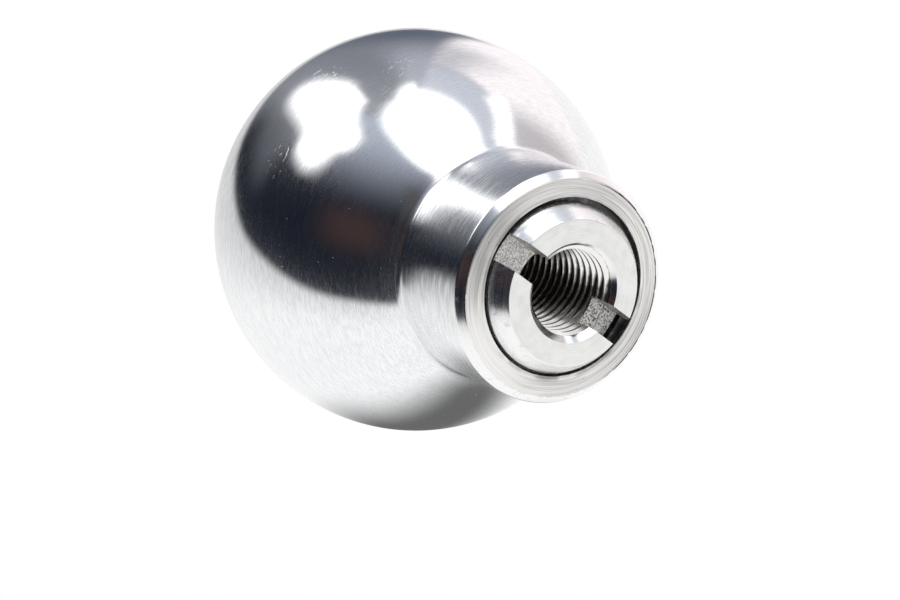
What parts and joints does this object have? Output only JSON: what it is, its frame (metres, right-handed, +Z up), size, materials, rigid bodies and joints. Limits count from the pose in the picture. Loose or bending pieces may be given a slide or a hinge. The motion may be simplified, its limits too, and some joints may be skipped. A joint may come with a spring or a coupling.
{
  "type": "gear shift knob",
  "caption": "Polished aluminium ball shift knob with a bevelled neck and a slotted screw-in adapter that takes the gear lever's thread.",
  "frame": {"origin": "centre of the adapter's flat end face, which the knob stands on, on the knob's axis", "axes": "+Z up the axis from the adapter to the ball, Y along the adapter's screwdriver slot"},
  "size_m": [0.052, 0.052, 0.0645],
  "materials": {
    "polished_aluminium": "hand polished to a near mirror, fine buffing lines, lathe rings left on the neck's end face",
    "turned_aluminium": "satin faced end, polished chamfer, coarse sawn slot floor"
  },
  "bodies": {
    "adapter": {"threaded_insert": "turned_aluminium"},
    "knob": {"knob_body": "polished_aluminium"}
  },
  "joints": [
    {"name": "knob_unscrew", "type": "slide", "parent": "adapter", "child": "knob", "axis": [0, 0, 1], "range_m": [0, 0.026]}
  ]
}
